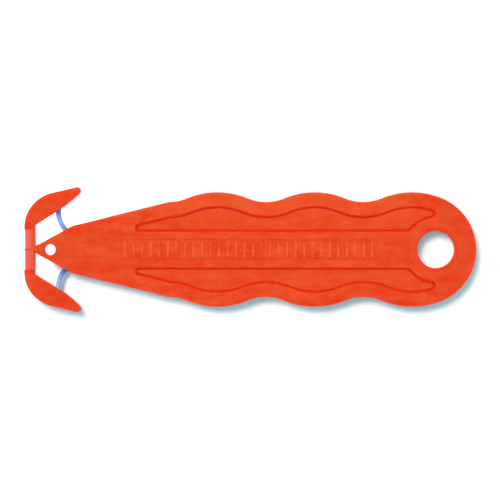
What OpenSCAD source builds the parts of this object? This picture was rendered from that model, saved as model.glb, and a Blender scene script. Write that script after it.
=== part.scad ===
// Hooked safety cutter: a flat plastic handle with an anchor-shaped head and two captive blades.
// Millimetres. The cutter lies on its back face: X runs along the handle with the head at -X,
// Y runs across it, Z is its thickness. The origin is under the middle of the overall box.

/* [Handle] */
// Overall length, front bar to rear end
body_l = 146; // [130:1:190]
// Thickness of the moulding
body_t = 5; // [4:0.5:8]
// Width across the finger crests
grip_w = 37; // [34:0.5:46]
// Number of finger crests on each side
crest_n = 3; // [2:1:3]
// Distance from one crest to the next
crest_pitch = 31.4; // [27:0.05:33]
// Radius of the outline over a crest
crest_r = 25.5; // [24:0.5:30]
// Depth of the valley between two crests
valley_d = 3.15; // [2:0.05:3.5]
// How much less the rear end's radius is than half the grip width
rear_step = 0.55; // [0.3:0.1:2]

/* [Nose] */
// Length of the nose, front bar included
nose_l = 15.5; // [14:0.5:18]
// Width of the neck where the nose joins the front bar
neck_w = 2.1; // [1.5:0.1:3.5]
// Angle of each nose flank from the middle line
nose_a = 28.8; // [26:0.1:32]
// Radius that blends a flank into the handle
nose_r = 4; // [1:0.5:6]
// Diameter of the small hole through the nose
nose_hole_d = 3.6; // [2:0.1:4]
// Distance of that hole's centre from the front
nose_hole_x = 8.4; // [8:0.1:9.5]

/* [Front bar] */
// Depth of the front bar, front to back
bar_d = 3.54; // [2.8:0.01:4.2]
// Distance from a rounded panel of the bar to the hook's root
panel_gap = 1.47; // [0.5:0.01:3]
// Width of the full-height rib between the panels
panel_rib = 0.5; // [0.3:0.1:1.5]
// How far the nose's point runs onto the bar
nose_point = 1.1; // [0.6:0.1:2]
// Width of that point where it starts
point_w = 1.8; // [1:0.1:2]
// How far a panel lies below the face, and behind the front
panel_drop = 0.15; // [0.1:0.05:0.6]
// Radius of a panel towards its front edge
panel_r = 4.5; // [4.3:0.1:8]

/* [Hooks] */
// Overall width across both hooks
hook_w = 40.4; // [33:0.1:50]
// Length of a hook, front to tip
hook_l = 18.3; // [16.5:0.1:22]
// Radius of the outer corner
hook_r = 11.6; // [8:0.1:13]
// Slope of the outer edge towards the tip
hook_a = 13.2; // [8:0.1:18]
// Radius of the tip
tip_r = 1.15; // [0.8:0.05:1.8]
// Depth of a hook, from its root on the front bar to its outermost side
hook_d = 12.23; // [11.5:0.01:14]
// Straight length of the edge that guides the cut
guide_l = 10.2; // [8:0.1:11]
// Radius of that edge towards the tip
guide_r = 30; // [20:1:60]

/* [Blades] */
// How far a blade bows forwards from the line between its eyes
blade_bow = 2.73; // [1.5:0.01:3.5]
// Width of a blade, back to cutting edge
blade_w = 1.65; // [1:0.05:2]
// Thickness of a blade
blade_t = 0.6; // [0.4:0.05:1]
// Width of the ground bevel behind the cutting edge
bevel_w = 0.7; // [0.3:0.05:0.9]
// Radius of the eye at each end of a blade
eye_r = 1.7; // [1.4:0.05:1.9]
// Diameter of the locking hole in an eye
eye_hole_d = 1.6; // [1:0.1:2]
// Place of the front eye on the hook's middle line, past the guide edge's straight part
front_eye = 1.8; // [1:0.1:2.5]
// Place of the rear eye, measured along the nose flank
rear_eye = 12.3; // [11:0.1:13]
// Plastic between the rear eye and the nose flank
eye_cover = 0.7; // [0.5:0.05:1]

/* [Finger pockets] */
// Distance of a pocket from the outline
pocket_rim = 4.8; // [3:0.1:6]
// Width of the raised lane between the pockets
lane_w = 12.2; // [9:0.1:15]
// Depth of a pocket
pocket_d = 1.2; // [0.5:0.1:1.5]
// Height of a pocket's blunt front end
pocket_nib = 1.7; // [1.4:0.1:3]
// Corner radius of that end
pocket_r = 0.8; // [0.3:0.1:0.8]
// Radius of a pocket's rear tail
tail_r = 1.1; // [0.4:0.1:1.2]
// Radius of a pocket's corner between the lane and the hang hole's rim
corner_r = 1.5; // [0.5:0.1:2.5]

/* [Hang hole] */
// Diameter of the hang hole
hang_d = 12; // [8:0.5:15]
// Plastic between the hang hole and the rear end
hang_wall = 7; // [4:0.5:9]
// Plastic between the hang hole and a pocket
hang_rim = 4.6; // [3:0.1:7]

/* [Label panel] */
// Length of the shallow panel on the front face
label_l = 82.5; // [60:0.5:90]
// Width of that panel
label_w = 6.45; // [4:0.05:8]
// Depth of that panel
label_d = 0.25; // [0.1:0.05:0.4]
// Distance from the panel to the hang hole's centre
label_gap = 19.2; // [16:0.1:24]
// Distance from one bar to the next
mark_pitch = 2.75; // [2:0.05:6]
// Width of a bar
mark_w = 0.8; // [0.4:0.05:1.2]
// Gap between the bars' ends and the panel's edge
mark_gap = 0.7; // [0.4:0.05:1.5]

/* [Hidden] */
$fn = 96;
plastic = "#eb4d27";
steel = "#7f9ff0";
arc_step = 3;       // largest turn between two points of an arc, degrees
over = 1;           // how far a cutting tool runs past the face it cuts

front_x = -body_l / 2;
rear_x = body_l / 2;
bar_x = front_x + bar_d;
mid_z = body_t / 2;

// ---- Geometry helpers ----

function polar(r, a) = r * [cos(a), sin(a)];
function angle_of(v) = atan2(v.y, v.x);
function reversed(pts) = [for (i = [len(pts) - 1:-1:0]) pts[i]];
function mirrored(pts) = [for (p = reversed(pts)) [p.x, -p.y]];

function arc(c, r, a0, a1) =
    let (n = max(1, ceil(abs(a1 - a0) / arc_step)))
    [for (i = [0:n]) c + polar(r, a0 + (a1 - a0) * i / n)];

// The point at distance r from p and s from q, on the left (+1) or right (-1) of the way p to q.
function meet(p, r, q, s, side) =
    let (d = norm(q - p), turn = acos((d * d + r * r - s * s) / (2 * d * r)))
    p + polar(r, angle_of(q - p) + side * turn);

// The arc of radius r that rounds corner b between straight edges from a and to c.
function rounded(a, b, c, r) =
    let (in = angle_of(b - a), raw = angle_of(c - b) - in)
    let (turn = raw > 180 ? raw - 360 : raw < -180 ? raw + 360 : raw, side = sign(turn))
    let (start = b - polar(r * tan(abs(turn) / 2), in))
    arc(start + polar(r, in + 90 * side), r, in - 90 * side, in - 90 * side + turn);

// ---- Finger crests and rear end ----

crest_half = grip_w / 2;
valley_half = crest_half - valley_d;
radii = (pow(crest_pitch / 2, 2) + valley_d * valley_d) / (2 * valley_d);
valley_r = radii - crest_r;
wave_a = asin(crest_pitch / 2 / radii);

rear_r = crest_half - rear_step;
rear_c = [rear_x - rear_r, 0];
crest_drop = crest_r - crest_half;
last_crest = rear_c.x - sqrt(pow(crest_r - rear_r, 2) - crest_drop * crest_drop);
rear_c_a = angle_of(rear_c - crest_c(0));

function crest_c(k) = [last_crest - k * crest_pitch, -crest_drop];
function valley_c(k) = [last_crest - (k + 0.5) * crest_pitch, valley_half + valley_r];

// Outline of the crests from the first valley to the last crest, moved inwards by inset.
// The last crest stops at the angle last_a.
function crests(inset, last_a) = concat(
    arc(valley_c(crest_n - 1), valley_r + inset, shoulder_a(inset), wave_a - 90),
    [for (k = [crest_n - 1:-1:0]) each concat(
        arc(crest_c(k), crest_r - inset, 90 + wave_a, k > 0 ? 90 - wave_a : last_a),
        k > 0 ? arc(valley_c(k - 1), valley_r + inset, -90 - wave_a, wave_a - 90) : [])]);

// ---- Nose and taper ----

neck = [bar_x, neck_w / 2];
nose_end = [front_x + nose_l, neck.y + (nose_l - bar_d) * tan(nose_a)];
shoulder = [valley_c(crest_n - 1).x, valley_half];
taper_a = angle_of(shoulder - nose_end);

// Where the straight taper, moved inwards, meets the first valley's arc.
function shoulder_a(inset) =
    taper_a - 90 - acos((valley_r * cos(taper_a) + inset) / (valley_r + inset));

// ---- Hooks ----

tip_c = [front_x + hook_l - tip_r, hook_w / 2 - tip_r];
hook_c = [front_x + hook_r,
    tip_c.y + (tip_r - hook_r - (tip_c.x - front_x - hook_r) * sin(hook_a)) / cos(hook_a)];
root = [bar_x, hook_w / 2 - hook_d];
guide_c = meet(root, norm([guide_l, guide_r]), tip_c, guide_r - tip_r, 1);
guide_a = angle_of(guide_c - root) - atan2(guide_r, guide_l);
tip_a = angle_of(tip_c - guide_c);

upper_edge = concat(
    arc(hook_c, hook_r, 180, 90 + hook_a),
    arc(tip_c, tip_r, 90 + hook_a, tip_a),
    arc(guide_c, guide_r, tip_a, guide_a - 90),
    [root, neck],
    rounded(neck, nose_end, shoulder, nose_r),
    crests(0, rear_c_a),
    arc(rear_c, rear_r, rear_c_a, 0));

// ---- Blades ----

front_eye_foot = root + polar(guide_l + front_eye, guide_a);
hook_t = (tip_c - front_eye_foot) * polar(1, hook_a + 90) + tip_r;
front_eye_c = front_eye_foot + polar(hook_t / (1 + cos(guide_a - hook_a)), guide_a + 90);
rear_eye_c = neck + polar(rear_eye, nose_a) + polar(eye_r + eye_cover, nose_a - 90);

// The blade is an arc through both eyes, and blade_mid is the radius of its middle line.
eye_gap = norm(front_eye_c - rear_eye_c);
blade_mid = (pow(eye_gap / 2, 2) + blade_bow * blade_bow) / (2 * blade_bow);
blade_r = blade_mid + blade_w / 2;
blade_c = meet(front_eye_c, blade_mid, rear_eye_c, blade_mid, 1);
front_eye_a = angle_of(front_eye_c - blade_c);
rear_eye_a = 360 + angle_of(rear_eye_c - blade_c);

// ---- Pockets ----

hang_c = [rear_x - hang_wall - hang_d / 2, 0];
tail_arc_r = hang_d / 2 + hang_rim;
lane_half = lane_w / 2;
tail_c = meet(crest_c(0), crest_r - pocket_rim - tail_r, hang_c, tail_arc_r + tail_r, 1);
corner_y = lane_half + corner_r;
corner_c = [hang_c.x - sqrt(pow(tail_arc_r + corner_r, 2) - corner_y * corner_y), corner_y];
nib_x = nose_end.x
    + (lane_half + pocket_nib + pocket_rim / cos(taper_a) - nose_end.y) / tan(taper_a);
nib_low = [nib_x, lane_half];
nib_high = [nib_x, lane_half + pocket_nib];
pocket_shoulder = valley_c(crest_n - 1) + polar(valley_r + pocket_rim, shoulder_a(pocket_rim));

tail_a = angle_of(tail_c - crest_c(0));

pocket_outline = concat(
    rounded(pocket_shoulder, nib_high, nib_low, pocket_r),
    rounded(nib_high, nib_low, [hang_c.x, lane_half], pocket_r),
    arc(corner_c, corner_r, -90, angle_of(hang_c - corner_c)),
    arc(hang_c, tail_arc_r, angle_of(corner_c - hang_c), angle_of(tail_c - hang_c)),
    arc(tail_c, tail_r, angle_of(hang_c - tail_c), tail_a),
    reversed(crests(pocket_rim, tail_a)));

// ---- Handle ----

module both_sides() {
    children();
    mirror([0, 1, 0]) children();
}

module both_faces() {
    children();
    translate([0, 0, body_t]) mirror([0, 0, 1]) children();
}

// One recess, cut into the back face.
module pocket() {
    translate([0, 0, -over]) linear_extrude(pocket_d + over) polygon(pocket_outline);
}

// What is cut off one half of the front bar, seen at the back face: all that lies outside
// the panel's rounded section. The nose's point runs on to the rib at full height.
module panel_cut() {
    panel_l = root.y - panel_gap - panel_rib / 2;
    point_side = (point_w - panel_rib) / 2;
    translate([bar_x, panel_rib / 2, 0]) difference() {
        translate([-bar_d - over, 0, -over]) cube([bar_d + over, panel_l, mid_z + over]);
        intersection() {
            translate([panel_drop - bar_d, -over, 0]) cube([bar_d, panel_l + 2 * over, body_t]);
            translate([0, -over, panel_drop + panel_r]) rotate([-90, 0, 0])
                cylinder(r = panel_r, h = panel_l + 2 * over);
        }
        translate([0, 0, -2 * over]) linear_extrude(mid_z + 3 * over) polygon([
            [-nose_point, 0],
            [-nose_point, -over],
            [over, -over],
            [over, point_side * (1 + over / nose_point)]]);
    }
}

// The shallow panel on the front face, with a row of plain bars left standing in it.
module label_cut() {
    marks = floor(label_l / mark_pitch);
    translate([hang_c.x - label_gap - label_l / 2, 0, body_t - label_d]) difference() {
        translate([-label_l / 2, -label_w / 2, 0]) cube([label_l, label_w, label_d + over]);
        for (i = [0:marks - 1])
            translate([(i + 0.5 - marks / 2) * mark_pitch - mark_w / 2, mark_gap - label_w / 2, -over])
                cube([mark_w, label_w - 2 * mark_gap, body_t]);
    }
}

module handle() {
    color(plastic) difference() {
        linear_extrude(body_t) polygon(concat(upper_edge, mirrored(upper_edge)));
        both_sides() both_faces() {
            pocket();
            panel_cut();
        }
        both_sides() blade_solid();
        label_cut();
        translate([hang_c.x, 0, -over]) cylinder(d = hang_d, h = body_t + 2 * over);
        translate([front_x + nose_hole_x, 0, -over]) cylinder(d = nose_hole_d, h = body_t + 2 * over);
    }
}

// ---- Blades ----

module blade_section() {
    edge_r = blade_r - blade_w;
    polygon([
        [edge_r, 0],
        [edge_r + bevel_w, blade_t / 2],
        [blade_r, blade_t / 2],
        [blade_r, -blade_t / 2],
        [edge_r + bevel_w, -blade_t / 2]]);
}

module eye(c) {
    translate([c.x, c.y, -blade_t / 2]) cylinder(r = eye_r, h = blade_t);
}

module eye_hole(c) {
    translate([c.x, c.y, -blade_t]) cylinder(d = eye_hole_d, h = 2 * blade_t);
}

module blade_solid() {
    translate([0, 0, mid_z]) difference() {
        union() {
            translate(blade_c) rotate([0, 0, front_eye_a])
                rotate_extrude(angle = rear_eye_a - front_eye_a) blade_section();
            eye(front_eye_c);
            eye(rear_eye_c);
        }
        eye_hole(front_eye_c);
        eye_hole(rear_eye_c);
    }
}

module left_blade() {
    color(steel) mirror([0, 1, 0]) blade_solid();
}

module right_blade() {
    color(steel) blade_solid();
}

handle();
left_blade();
right_blade();
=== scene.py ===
"""Looks of the hooked safety cutter: one orange moulding with two captive blades, on a white table.

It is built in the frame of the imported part: X runs along the handle with the head at -X, Y runs
across it and Z is up. Sizes are written in millimetres, and MM turns them into metres.
"""

import math

import bmesh
import bpy
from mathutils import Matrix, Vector


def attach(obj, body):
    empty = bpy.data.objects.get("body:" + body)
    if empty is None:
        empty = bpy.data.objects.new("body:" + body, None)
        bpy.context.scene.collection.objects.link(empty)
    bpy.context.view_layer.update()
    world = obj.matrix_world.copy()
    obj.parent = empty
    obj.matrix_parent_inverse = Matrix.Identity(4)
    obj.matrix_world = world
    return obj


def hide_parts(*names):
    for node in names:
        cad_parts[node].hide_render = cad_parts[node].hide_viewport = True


MM = 0.001

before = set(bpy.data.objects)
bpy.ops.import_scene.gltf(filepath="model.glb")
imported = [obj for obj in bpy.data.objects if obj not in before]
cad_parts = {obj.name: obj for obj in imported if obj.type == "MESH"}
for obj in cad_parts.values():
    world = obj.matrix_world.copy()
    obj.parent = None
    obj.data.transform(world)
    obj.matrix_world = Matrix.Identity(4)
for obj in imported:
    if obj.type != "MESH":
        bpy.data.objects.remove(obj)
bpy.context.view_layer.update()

# ---- Sizes of the moulding and the blades ----

THICK = 5.0                         # thickness
BAR_BACK = -69.46                   # back side of the front bar
BAR_FRONT = -73.0                   # front of the hooks and of the bar's rib
PANEL_END = 6.5                     # where the bar's rounded panels stop, across
POCKET_DEPTH = 1.2
LABEL_DEPTH = 0.25
LABEL_START, LABEL_END = -41.7, 40.8
LABEL_EDGE = 3.6                    # just outside the label panel, across
LANE_HALF = 6.1                     # half of the lane between the pockets
MARK_END = 2.53                     # where the label's bars stop, across
HANG_HOLE = (60.0, 0.0)
NOSE_HOLE = (-64.6, 0.0)
HANG_RING = 7.9                     # radius of the faint ring around the hang hole
BLADE_CENTRE = (-53.983, 12.077)    # centre of the right blade's arc

# ---- Rounded edges ----

EDGE_ROUND = 0.6                    # widest rounding of the moulding, at weight 1
RIM_WEIGHT = 0.75                   # outline and holes
POCKET_WEIGHT = 0.975               # top and floor of the pocket walls
PANEL_WEIGHT = 0.22                 # front and back of the bar's panels
STEP_WEIGHT = 0.12                  # ends of the panels, and the rib
LABEL_WEIGHT = 0.2
BLADE_ROUND = 0.05                  # back edges of a blade
SHARP_TURN = math.radians(35)
NECK_FADE = 1.3                     # the rim's rounding grows over this length behind the bar
NECK_STEPS = 6
NECK_REACH = 2.4                    # half of a width that takes in the neck only


# ---- Mesh helpers ----

WELD = 0.002                        # corners this close are one corner
SAME = 0.01                         # heights this close are one height
NEAR = 0.05                         # how far past a border an edge still counts as on it


def merged_copy(node, name):
    """A copy of a CAD piece, with its triangles joined into one skin of flat faces."""
    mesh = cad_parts[node].data.copy()
    mesh.name = name
    mesh.materials.clear()
    bm = bmesh.new()
    bm.from_mesh(mesh)
    bmesh.ops.remove_doubles(bm, verts=bm.verts, dist=WELD * MM)
    bmesh.ops.dissolve_limit(bm, angle_limit=math.radians(1.0), verts=bm.verts,
                             edges=bm.edges, use_dissolve_boundaries=False)
    piece = bpy.data.objects.new(name, mesh)
    bpy.context.scene.collection.objects.link(piece)
    return piece, bm


def is_flat(face):
    return abs(face.normal.z) > 0.999


def is_wall(face):
    return abs(face.normal.z) < 0.02


def face_span(face):
    """Height of a face, in millimetres."""
    heights = [v.co.z for v in face.verts]
    return (max(heights) - min(heights)) / MM


def finish_edges(piece, bm, weigh, width, segments):
    """Rounds each sharp edge by the weight that weigh(edge) gives it, and shades the skin smooth.

    The corners of full-height walls are marked in the attribute that the plastic reads.
    """
    layer = bm.edges.layers.float.new("bevel_weight_edge")
    for edge in bm.edges:
        turn = edge.calc_face_angle(0.0)
        edge[layer] = weigh(edge) if turn > SHARP_TURN else 0.0
        edge.smooth = edge[layer] > 0.0 or turn < SHARP_TURN
    for face in bm.faces:
        face.smooth = True
    outline = bm.verts.layers.float.new("outline")
    for vert in bm.verts:
        spans = [face_span(f) for f in vert.link_faces if is_wall(f)]
        vert[outline] = 1.0 if max(spans, default=0.0) > THICK - SAME else 0.0
    bm.to_mesh(piece.data)
    bm.free()

    bevel = piece.modifiers.new("rounded edges", "BEVEL")
    bevel.limit_method = "WEIGHT"
    bevel.width = width * MM
    bevel.segments = segments
    bevel.profile = 0.5
    bevel.use_clamp_overlap = False
    bevel.loop_slide = False
    shade = piece.modifiers.new("even shading", "WEIGHTED_NORMAL")
    shade.keep_sharp = True
    shade.weight = 80


# ---- Handle ----

def at_neck(vert):
    """Is this corner on the neck, or on the bar in front of it?"""
    return vert.co.x < (BAR_BACK + NECK_FADE) * MM and abs(vert.co.y) < NECK_REACH * MM


def cut_neck(bm):
    """Cuts the nose's rim into short lengths next to the bar, so its rounding can grow there."""
    for step in range(1, NECK_STEPS + 1):
        faces = [f for f in bm.faces if any(at_neck(v) for v in f.verts)]
        edges = {e for f in faces for e in f.edges}
        verts = {v for f in faces for v in f.verts}
        cut_at = BAR_BACK + NECK_FADE * step / NECK_STEPS
        bmesh.ops.bisect_plane(bm, geom=faces + list(edges) + list(verts),
                               plane_co=(cut_at * MM, 0, 0), plane_no=(1, 0, 0))


def handle_edge_weight(edge):
    """How far a sharp edge of the moulding is rounded, as a share of EDGE_ROUND."""
    mid = (edge.verts[0].co + edge.verts[1].co) / (2 * MM)
    flats = [f for f in edge.link_faces if is_flat(f)]
    walls = [f for f in edge.link_faces if is_wall(f)]
    on_face = min(mid.z, THICK - mid.z) < SAME
    if mid.x < BAR_BACK + NEAR and abs(mid.y) < PANEL_END + NEAR:
        if flats and on_face:
            return STEP_WEIGHT
        across = walls and abs(walls[0].normal.x) > 0.99
        return PANEL_WEIGHT if len(walls) == 1 and across and edge.is_convex else 0.0
    if len(walls) != 1 or not flats:
        return 0.0
    span = face_span(walls[0])
    if on_face and span > THICK - SAME:
        from_neck = (mid.x - BAR_BACK) / NECK_FADE if abs(mid.y) < NECK_REACH else 1.0
        return RIM_WEIGHT * min(1.0, max(0.0, from_neck))
    if abs(span - POCKET_DEPTH) < SAME:
        return POCKET_WEIGHT
    return LABEL_WEIGHT if abs(span - LABEL_DEPTH) < SAME else 0.0


def moulded_handle():
    piece, bm = merged_copy("handle", "moulded_handle")
    cut_neck(bm)
    finish_edges(piece, bm, handle_edge_weight, EDGE_ROUND, segments=4)
    return piece


# ---- Blades ----

def blade_edge_weight(edge):
    """Rounds a blade's back, between its flat sides and its upright skin."""
    levels = [abs(f.normal.z) for f in edge.link_faces]
    return 1.0 if min(levels) < 0.1 and max(levels) > 0.99 else 0.0


def ground_blade(side):
    piece, bm = merged_copy(side + "_blade", side + "_ground_blade")
    finish_edges(piece, bm, blade_edge_weight, BLADE_ROUND, segments=2)
    return piece


# ---- Node helpers ----

def add(tree, kind, **values):
    node = tree.nodes.new(kind)
    for key, value in values.items():
        setattr(node, key, value)
    return node


def plug(tree, socket, value):
    """Links value to the socket if it's an output, or sets it there."""
    if hasattr(value, "links"):
        tree.links.new(value, socket)
    else:
        socket.default_value = value


def maths(tree, operation, *values):
    node = add(tree, "ShaderNodeMath", operation=operation)
    for socket, value in zip(node.inputs, values):
        plug(tree, socket, value)
    return node.outputs[0]


def times(tree, *values):
    """The product of masks and numbers."""
    product = values[0]
    for value in values[1:]:
        product = maths(tree, "MULTIPLY", product, value)
    return product


def noise(tree, coords, scale, detail=3.0, roughness=0.6, stretch=(1, 1, 1)):
    """Noise of that many cells per metre, stretched per axis."""
    mapping = add(tree, "ShaderNodeMapping")
    mapping.inputs["Scale"].default_value = stretch
    tree.links.new(coords, mapping.inputs["Vector"])
    tex = add(tree, "ShaderNodeTexNoise")
    plug(tree, tex.inputs["Scale"], scale)
    tex.inputs["Detail"].default_value = detail
    tex.inputs["Roughness"].default_value = roughness
    tree.links.new(mapping.outputs["Vector"], tex.inputs["Vector"])
    return tex.outputs["Fac"]


def remap(tree, value, low, high, to_low=0.0, to_high=1.0, smooth=False):
    """Takes low to to_low and high to to_high, and holds the value there outside them."""
    node = add(tree, "ShaderNodeMapRange")
    if smooth:
        node.interpolation_type = "SMOOTHSTEP"
    for key, v in (("From Min", low), ("From Max", high), ("To Min", to_low), ("To Max", to_high)):
        plug(tree, node.inputs[key], v)
    tree.links.new(value, node.inputs["Value"])
    return node.outputs["Result"]


def mix(tree, factor, a, b):
    node = add(tree, "ShaderNodeMix", data_type="RGBA")
    for socket, value in ((node.inputs[0], factor), (node.inputs[6], a), (node.inputs[7], b)):
        plug(tree, socket, (*value, 1.0) if isinstance(value, tuple) else value)
    return node.outputs[2]


def split(tree, vector):
    node = add(tree, "ShaderNodeSeparateXYZ")
    tree.links.new(vector, node.inputs[0])
    return node.outputs


def fade(tree, value, start, end):
    """Grows softly from 0 at start to 1 at end, which are in millimetres."""
    return remap(tree, value, start * MM, end * MM, smooth=True)


def band(tree, value, low, high, soft):
    """1 between low and high and 0 outside, with soft borders; all in millimetres."""
    return times(tree, fade(tree, value, low - soft, low + soft),
                 fade(tree, value, high + soft, high - soft))


def centred(tree, coords, centre):
    """Coordinates across the faces, from a centre given in millimetres."""
    mapping = add(tree, "ShaderNodeMapping")
    mapping.inputs["Location"].default_value = (-centre[0] * MM, -centre[1] * MM, 0)
    mapping.inputs["Scale"].default_value = (1, 1, 0)
    tree.links.new(coords, mapping.inputs["Vector"])
    return mapping.outputs[0]


def distance_from(tree, coords, centre):
    length = add(tree, "ShaderNodeVectorMath", operation="LENGTH")
    tree.links.new(centred(tree, coords, centre), length.inputs[0])
    return length.outputs["Value"]


# ---- Effects that both materials use ----

CLOUD_SHARE, SPECK_SHARE = 0.65, 0.35
GRAIN_DEPTH = 0.015


def new_group(name, inputs, outputs):
    group = bpy.data.node_groups.new(name, "ShaderNodeTree")
    for direction, sockets in (("INPUT", inputs), ("OUTPUT", outputs)):
        for label, kind in sockets:
            group.interface.new_socket(name=label, in_out=direction, socket_type=kind)
    return group, add(group, "NodeGroupInput").outputs, add(group, "NodeGroupOutput").inputs


def cloudy_tone_group():
    """Soft clouds and fine specks, as a mask around one half."""
    group, ins, outs = new_group(
        "cloudy_tone",
        [("Vector", "NodeSocketVector"), ("Cloud Scale", "NodeSocketFloat"),
         ("Speck Scale", "NodeSocketFloat"), ("Contrast", "NodeSocketFloat")],
        [("Mask", "NodeSocketFloat")])
    clouds = noise(group, ins["Vector"], ins["Cloud Scale"], detail=2.0, roughness=0.5)
    specks = noise(group, ins["Vector"], ins["Speck Scale"])
    both = maths(group, "ADD", times(group, clouds, CLOUD_SHARE),
                 times(group, specks, SPECK_SHARE))
    spread = times(group, maths(group, "SUBTRACT", both, 0.5), ins["Contrast"])
    plug(group, outs["Mask"], remap(group, maths(group, "ADD", spread, 0.5), 0.0, 1.0))
    return group


def turned_away_group():
    """How far the skin turns from the flat faces, and where it is half turned: the edges."""
    group, ins, outs = new_group(
        "turned_away", [("Normal", "NodeSocketVector")],
        [("Steep", "NodeSocketFloat"), ("Edge", "NodeSocketFloat"), ("Upright", "NodeSocketFloat")])
    level = maths(group, "ABSOLUTE", split(group, ins["Normal"])["Z"])    # 1 is flat, 0 upright
    plug(group, outs["Steep"], remap(group, level, 0.998, 0.88))
    plug(group, outs["Upright"], remap(group, level, 0.75, 0.25))
    rising = remap(group, level, 0.15, 0.55)
    falling = remap(group, level, 0.98, 0.80)
    plug(group, outs["Edge"], times(group, rising, falling))
    return group


def fine_grain_group():
    """The skin's fine texture, as a normal and as a height."""
    group, ins, outs = new_group(
        "fine_grain",
        [("Vector", "NodeSocketVector"), ("Scale", "NodeSocketFloat"),
         ("Strength", "NodeSocketFloat")],
        [("Normal", "NodeSocketVector"), ("Height", "NodeSocketFloat")])
    height = noise(group, ins["Vector"], ins["Scale"], detail=4.0, roughness=0.65)
    bump = add(group, "ShaderNodeBump")
    bump.inputs["Distance"].default_value = GRAIN_DEPTH * MM
    plug(group, bump.inputs["Strength"], ins["Strength"])
    plug(group, bump.inputs["Height"], height)
    plug(group, outs["Normal"], bump.outputs["Normal"])
    plug(group, outs["Height"], height)
    return group


cloudy_tone = cloudy_tone_group()
turned_away = turned_away_group()
fine_grain = fine_grain_group()


def use(tree, group, **values):
    """Places a group, with its inputs named as in Cloud_Scale=340."""
    node = add(tree, "ShaderNodeGroup", node_tree=group)
    for key, value in values.items():
        plug(tree, node.inputs[key.replace("_", " ")], value)
    return node.outputs


def new_material(name):
    mat = bpy.data.materials.new(name)
    mat.use_nodes = True
    tree = mat.node_tree
    where = add(tree, "ShaderNodeTexCoord").outputs
    return mat, tree, tree.nodes["Principled BSDF"], where["Object"], where["Normal"]


# ---- Orange plastic ----

CLOUD_TONES = (0.605, 0.034, 0.0010), (0.645, 0.072, 0.0170)    # dark and pale
STREAK_TONES = (0.610, 0.035, 0.0015), (0.650, 0.075, 0.0175)
STREAK_SHARE = 0.5                  # how much of a tone's full strength shows, here and below
END_TONE, END_SHARE = (0.620, 0.036, 0.0030), 0.3
LANE_TONE, LANE_SHARE = (0.630, 0.072, 0.0120), 0.2
FLOOR_TONE, FLOOR_SHARE = (0.650, 0.078, 0.0120), 0.3
# painted light: a paler tone for the upper rim, as if lit from above
PAINTED_RIM_LIGHT_TONE, PAINTED_RIM_LIGHT_SHARE = (0.660, 0.090, 0.0170), 0.45
RING_TONE, RING_SHARE = (0.650, 0.082, 0.020), 0.4
# painted shade on the hang hole's lip
LIP_SHADE_TONE, LIP_SHADE_SHARE = (0.640, 0.022, 0.002), 0.6
MARK_TONE = (0.68, 0.100, 0.024)
MARK_SHARES = 0.15, 0.9             # the least and the most rubbed of the label's bars
POCKET_WALL_SHADE_TONES = (0.620, 0.0130, 0.0006), (0.800, 0.0210, 0.0012)    # painted shade for rounded and upright walls, the upright one redder as painted light
OUTER_WALL_TONE = (0.640, 0.046, 0.009)
# how much of the pocket walls' painted shade the label's bars take
LABEL_WALL_SHADE_SHARE = 0.4
WORN_TONE, WORN_SHARE = (0.68, 0.095, 0.024), 0.4
PANEL_SHEEN_TONES = (0.64, 0.115, 0.074), (0.62, 0.078, 0.041)    # painted sheen, at the front and the back of the bar
RIB_SHEEN_SHARE = 0.35                    # the panels' painted sheen on the rib between them
PLASTIC_ROUGHNESS = 0.38, 0.50
GLOW_RADIUS = (1.0, 0.10, 0.04)     # how far red, green and blue light spread under the skin
GLOW_DEPTH = 2.5

ENDS_START, ENDS_FULL = 54, 66      # where the nose and the rear end take their own tone, along
CREST_START, CREST_END = -40, 52    # the painted light on the rim along the upper crests
RIM_START, RIM_FULL = 10, 14        # and where it begins, across
LIP_END, LIP_FULL = 7.2, 6.2        # painted shade on the hang hole's lip, from the hole's centre
RIB_HALF = 0.25                     # half of the rib between the bar's panels


def mottled_orange(tree, coords):
    """Soft clouds and specks, half covered by streaks where the plastic flowed along the mould."""
    clouds = use(tree, cloudy_tone, Vector=coords, Cloud_Scale=340.0, Speck_Scale=2200.0,
                 Contrast=8.0)["Mask"]
    flow = noise(tree, coords, scale=520, detail=2, roughness=0.5, stretch=(0.2, 1, 1))
    streaks = remap(tree, flow, 0.42, 0.58)
    return mix(tree, STREAK_SHARE, mix(tree, clouds, *CLOUD_TONES),
               mix(tree, streaks, *STREAK_TONES))


def grip_tones(tree, tone, x, y, z):
    """The ends, the lane and the pocket floors each lean to a tone of their own, and the upper rim
    is paler with painted light from above.
    """
    ends = fade(tree, maths(tree, "ABSOLUTE", x), ENDS_START, ENDS_FULL)
    tone = mix(tree, times(tree, ends, END_SHARE), tone, END_TONE)
    lane = band(tree, y, -LANE_HALF, LANE_HALF, soft=1.5)
    tone = mix(tree, times(tree, lane, LANE_SHARE), tone, LANE_TONE)
    floor = band(tree, z, POCKET_DEPTH - 0.1, THICK - POCKET_DEPTH + 0.1, soft=0.1)
    tone = mix(tree, times(tree, floor, FLOOR_SHARE), tone, FLOOR_TONE)
    crests = band(tree, x, CREST_START, CREST_END, soft=6)
    # painted light on the upper crests' rim, as if lit from above
    painted_rim_light = times(tree, crests, fade(tree, y, RIM_START, RIM_FULL), PAINTED_RIM_LIGHT_SHARE)
    return mix(tree, painted_rim_light, tone, PAINTED_RIM_LIGHT_TONE)


def hang_hole_tones(tree, tone, coords):
    """A faint pale ring around the hang hole, and painted shade on its lip."""
    reach = distance_from(tree, coords, HANG_HOLE)
    ring = band(tree, reach, HANG_RING - 0.3, HANG_RING + 0.5, soft=0.4)
    tone = mix(tree, times(tree, ring, RING_SHARE), tone, RING_TONE)
    # painted shade where the hole's rim rounds away
    lip = fade(tree, reach, LIP_END, LIP_FULL)
    return mix(tree, times(tree, lip, LIP_SHADE_SHARE), tone, LIP_SHADE_TONE)


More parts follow.
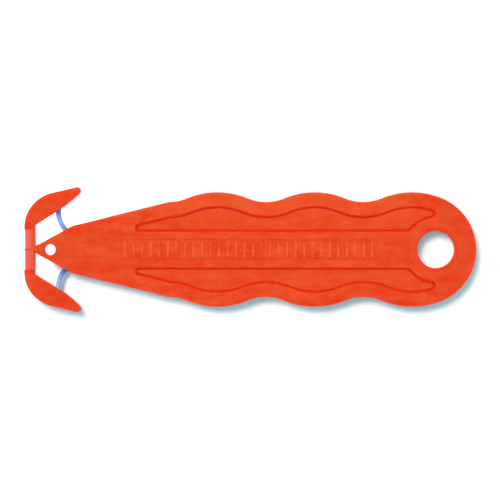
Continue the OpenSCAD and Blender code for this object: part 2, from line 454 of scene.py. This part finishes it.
def label_tones(tree, tone, coords, x, y, z):
    """The tops of the label's bars are paler, some more than others."""
    marks = times(tree, band(tree, x, LABEL_START, LABEL_END, soft=0.1),
                  band(tree, y, -MARK_END, MARK_END, soft=0.1),
                  band(tree, z, THICK - 0.1, THICK + 1, soft=0.05))
    patches = noise(tree, coords, scale=330, detail=2, roughness=0.5)
    rubbed = remap(tree, patches, 0.35, 0.60, *MARK_SHARES)
    return mix(tree, times(tree, marks, rubbed), tone, MARK_TONE)


def wall_tones(tree, tone, coords, normal, y):
    """Pocket walls deep red as painted shade and redder where upright as painted light, evenly
    toned outer walls, and scuffs that pale the outline's edges.
    """
    turned = use(tree, turned_away, Normal=normal)
    outline = add(tree, "ShaderNodeAttribute", attribute_name="outline").outputs["Fac"]
    # painted shade on the pocket walls, with painted light where they stand upright
    pocket_wall_shade = mix(tree, turned["Upright"], *POCKET_WALL_SHADE_TONES)
    in_label = band(tree, y, -LABEL_EDGE, LABEL_EDGE, soft=0.3)
    steep = times(tree, turned["Steep"], remap(tree, in_label, 0, 1, 1.0, LABEL_WALL_SHADE_SHARE))
    tone = mix(tree, steep, tone, mix(tree, outline, pocket_wall_shade, OUTER_WALL_TONE))
    scuffs = remap(tree, noise(tree, coords, scale=700), 0.42, 0.62)
    worn = times(tree, turned["Edge"], outline, scuffs, WORN_SHARE)
    return mix(tree, worn, tone, WORN_TONE)


def bar_panel_painted_sheen(tree, tone, x, y):
    """The bar's sunk panels carry a painted sheen, palest at the front, and the rib between them
    less of it.
    """
    across = maths(tree, "ABSOLUTE", y)
    off_rib = remap(tree, across, (RIB_HALF - 0.1) * MM, (RIB_HALF + 0.1) * MM, RIB_SHEEN_SHARE, 1.0)
    # painted sheen: where the panels would reflect a light from the left
    panel_sheen = times(tree, band(tree, x, BAR_FRONT - 0.3, BAR_BACK - 0.45, soft=0.2), off_rib,
                  remap(tree, across, PANEL_END * MM, (PANEL_END - 0.15) * MM))
    to_back = remap(tree, x, (BAR_FRONT + 0.6) * MM, (BAR_BACK - 0.5) * MM)
    return mix(tree, panel_sheen, tone, mix(tree, to_back, *PANEL_SHEEN_TONES))


def orange_plastic():
    """Satin orange plastic, with some light scattered under its skin."""
    mat, tree, bsdf, coords, normal = new_material("orange_plastic")
    x, y, z = split(tree, coords)
    tone = mottled_orange(tree, coords)
    tone = grip_tones(tree, tone, x, y, z)
    tone = hang_hole_tones(tree, tone, coords)
    tone = label_tones(tree, tone, coords, x, y, z)
    tone = wall_tones(tree, tone, coords, normal, y)
    tone = bar_panel_painted_sheen(tree, tone, x, y)
    plug(tree, bsdf.inputs["Base Color"], tone)

    grain = use(tree, fine_grain, Vector=coords, Scale=4200.0, Strength=0.3)
    plug(tree, bsdf.inputs["Roughness"], remap(tree, grain["Height"], 0.3, 0.7, *PLASTIC_ROUGHNESS))
    plug(tree, bsdf.inputs["Normal"], grain["Normal"])
    bsdf.inputs["Specular IOR Level"].default_value = 0.22
    bsdf.inputs["Subsurface Weight"].default_value = 1.0
    bsdf.inputs["Subsurface Radius"].default_value = GLOW_RADIUS
    bsdf.inputs["Subsurface Scale"].default_value = GLOW_DEPTH * MM
    return mat


# ---- Blued steel ----

STEEL_TONES = {                     # in the middle, then painted light and shade at the hook's end and painted shade at the nose's end
    "right": ((0.23, 0.35, 0.79), (0.19, 0.29, 0.86), (0.15, 0.24, 0.34)),
    "left": ((0.22, 0.36, 0.68), (0.26, 0.42, 0.70), (0.03, 0.07, 0.40)),
}
STEEL_SHADES = 0.82, 1.14           # darkest and palest clouds, as shares of the middle's tone
SCRATCH_TONE, SCRATCH_SHARE = (0.42, 0.55, 0.95), 0.22
BRIGHT_TONE, BRIGHT_SHARE = (0.60, 0.70, 0.95), 0.35    # polished edges
STEEL_ROUGHNESS = 0.26, 0.44
HOOK_START, HOOK_FULL = 9.2, 11.2   # where the hook's end takes its painted light and shade, across
NOSE_START, NOSE_FULL = 9.0, 6.6    # and where the nose's end takes its painted shade


def blued_steel(side):
    """Blued steel, with grinding lines that cross the blade from its back to its edge."""
    mat, tree, bsdf, coords, normal = new_material(side + "_blued_steel")
    middle_tone, hook_end_shading, nose_end_shade = STEEL_TONES[side]
    clouds = use(tree, cloudy_tone, Vector=coords, Cloud_Scale=500.0, Speck_Scale=3500.0,
                 Contrast=2.6)["Mask"]
    dark, pale = (tuple(shade * c for c in middle_tone) for shade in STEEL_SHADES)
    tone = mix(tree, clouds, dark, pale)
    across = maths(tree, "ABSOLUTE", split(tree, coords)["Y"])
    # painted light and shade at the hook's end, painted shade at the nose's end
    tone = mix(tree, fade(tree, across, HOOK_START, HOOK_FULL), tone, hook_end_shading)
    tone = mix(tree, fade(tree, across, NOSE_START, NOSE_FULL), tone, nose_end_shade)

    mirrored = 1 if side == "right" else -1
    arc_centre = (BLADE_CENTRE[0], mirrored * BLADE_CENTRE[1])
    around = add(tree, "ShaderNodeTexGradient", gradient_type="RADIAL")
    plug(tree, around.inputs[0], centred(tree, coords, arc_centre))
    lines = add(tree, "ShaderNodeTexNoise", noise_dimensions="1D")
    lines.inputs["Scale"].default_value = 900.0
    lines.inputs["Detail"].default_value = 2.0
    plug(tree, lines.inputs["W"], around.outputs["Fac"])
    scratches = remap(tree, lines.outputs[0], 0.35, 0.65, 0.0, SCRATCH_SHARE)
    tone = mix(tree, scratches, tone, SCRATCH_TONE)
    edges = use(tree, turned_away, Normal=normal)["Edge"]
    tone = mix(tree, times(tree, edges, BRIGHT_SHARE), tone, BRIGHT_TONE)
    plug(tree, bsdf.inputs["Base Color"], tone)

    grain = use(tree, fine_grain, Vector=coords, Scale=5200.0, Strength=0.15)
    plug(tree, bsdf.inputs["Roughness"], remap(tree, lines.outputs[0], 0.3, 0.7, *STEEL_ROUGHNESS))
    plug(tree, bsdf.inputs["Normal"], grain["Normal"])
    bsdf.inputs["Metallic"].default_value = 0.6
    return mat


# ---- Table, light and camera ----

TABLE_HALF = 1.5                    # half of the table's side, in metres
TABLE_TONE = (0.9, 0.9, 0.9, 1)
CLEAR_GLOW = (0.95, 0.95, 0.95)     # where the shade is taken away
SHADE_GLOW = (0.0, 0.045, 0.05)     # keeps the shade's warmth down
HOLE_GLOW = (0.0, 0.11, 0.12)       # the same inside the hang hole
UPPER_CLEAR = (-44, -50), (0, 3)    # borders of the clear patches: start and full, along and across
LOWER_CLEAR = (-62, -66), (-12, -7)
NOSE_HOLE_CLEAR = 3.2, 2.2          # the same, from each hole's centre
HANG_HOLE_INSIDE = 7, 5
SUN_TINT = (1.0, 0.79, 0.738)
SKY_TONES = (0.42, 0.84, 0.93), (0.12, 0.22, 0.26)    # around and straight above
SKY_RISE = 0.80, 0.97               # heights between which the sky turns dim
VIEW_WIDTH = 161.35                 # what the camera takes in, from side to side
VIEW_LEVEL = 4.7                    # the height above the table at which it does
VIEW_CENTRE = (-0.06, -0.15)


def free_of_shade(tree, coords):
    """Where the table glows white: around the upper hook, before the bar and in the nose hole."""
    x, y, _ = split(tree, coords)
    upper, lower = (times(tree, fade(tree, x, *along), fade(tree, y, *across))
                    for along, across in (UPPER_CLEAR, LOWER_CLEAR))
    hole = fade(tree, distance_from(tree, coords, NOSE_HOLE), *NOSE_HOLE_CLEAR)
    return maths(tree, "MAXIMUM", maths(tree, "MAXIMUM", upper, lower), hole)


def table():
    """A white table that glows a little, so the shade on it is cool and leaves the head clear."""
    bm = bmesh.new()
    bmesh.ops.create_grid(bm, x_segments=1, y_segments=1, size=TABLE_HALF)
    mesh = bpy.data.meshes.new("table")
    bm.to_mesh(mesh)
    bm.free()
    piece = bpy.data.objects.new("table", mesh)
    bpy.context.scene.collection.objects.link(piece)

    mat, tree, bsdf, coords, _ = new_material("white_table")
    bsdf.inputs["Base Color"].default_value = TABLE_TONE
    bsdf.inputs["Roughness"].default_value = 1.0
    bsdf.inputs["Specular IOR Level"].default_value = 0.0
    in_hang_hole = fade(tree, distance_from(tree, coords, HANG_HOLE), *HANG_HOLE_INSIDE)
    glow = mix(tree, in_hang_hole, SHADE_GLOW, HOLE_GLOW)
    glow = mix(tree, free_of_shade(tree, coords), glow, CLEAR_GLOW)
    plug(tree, bsdf.inputs["Emission Color"], glow)
    bsdf.inputs["Emission Strength"].default_value = 1.0
    piece.data.materials.append(mat)
    return piece


def soft_sun(name, strength, spread, towards, pieces):
    """A far soft light that reaches only those pieces; everything casts shade in it."""
    lamp = bpy.data.lights.new(name, "SUN")
    lamp.energy = strength
    lamp.color = SUN_TINT
    lamp.angle = math.radians(spread)
    sun = bpy.data.objects.new(name, lamp)
    sun.rotation_euler = Vector(towards).to_track_quat("-Z", "Y").to_euler()
    bpy.context.scene.collection.objects.link(sun)
    lit = bpy.data.collections.new("lit by " + name)
    for piece in pieces:
        lit.objects.link(piece)
    sun.light_linking.receiver_collection = lit
    return sun


def soft_sky():
    """A soft sky that is dim straight above; the camera sees plain white behind the table."""
    world = bpy.data.worlds.new("studio")
    bpy.context.scene.world = world
    world.use_nodes = True
    tree = world.node_tree
    tree.nodes.clear()
    up = split(tree, add(tree, "ShaderNodeTexCoord").outputs["Generated"])["Z"]
    sky = add(tree, "ShaderNodeBackground")
    plug(tree, sky.inputs["Color"], mix(tree, remap(tree, up, *SKY_RISE), *SKY_TONES))
    backdrop = add(tree, "ShaderNodeBackground")
    backdrop.inputs["Color"].default_value = (1, 1, 1, 1)
    seen = add(tree, "ShaderNodeMixShader")
    plug(tree, seen.inputs["Fac"], add(tree, "ShaderNodeLightPath").outputs["Is Camera Ray"])
    tree.links.new(sky.outputs[0], seen.inputs[1])
    tree.links.new(backdrop.outputs[0], seen.inputs[2])
    tree.links.new(seen.outputs[0], add(tree, "ShaderNodeOutputWorld").inputs["Surface"])


def studio_light(bench, moulding, steel):
    """The sky, a key light for table and steel, and a front light for the plastic."""
    soft_sky()
    soft_sun("key", strength=3.9, spread=32, towards=(1.9, -2.5, -4.8), pieces=[bench] + steel)
    front = soft_sun("front", strength=3.4, spread=55, towards=(0.3, -0.45, -4.8),
                     pieces=[moulding])
    front.visible_glossy = False


def camera():
    """A long lens straight above the cutter."""
    data = bpy.data.cameras.new("camera")
    data.lens = 180
    data.sensor_width = 36
    data.clip_start = 0.01
    data.clip_end = 20
    cam = bpy.data.objects.new("camera", data)
    distance = VIEW_WIDTH * MM * data.lens / data.sensor_width
    cam.location = (VIEW_CENTRE[0] * MM, VIEW_CENTRE[1] * MM, distance + VIEW_LEVEL * MM)
    bpy.context.scene.collection.objects.link(cam)
    bpy.context.scene.camera = cam


# ---- Assembly ----

handle = moulded_handle()
handle.data.materials.append(orange_plastic())
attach(handle, "root")
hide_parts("handle")

blades = []
for side in ("right", "left"):
    blade = ground_blade(side)
    blade.data.materials.append(blued_steel(side))
    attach(blade, "root")
    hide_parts(side + "_blade")
    blades.append(blade)

bench = table()
studio_light(bench, handle, blades)
camera()
bpy.context.scene.view_settings.view_transform = "Standard"
bpy.context.scene.view_settings.look = "None"
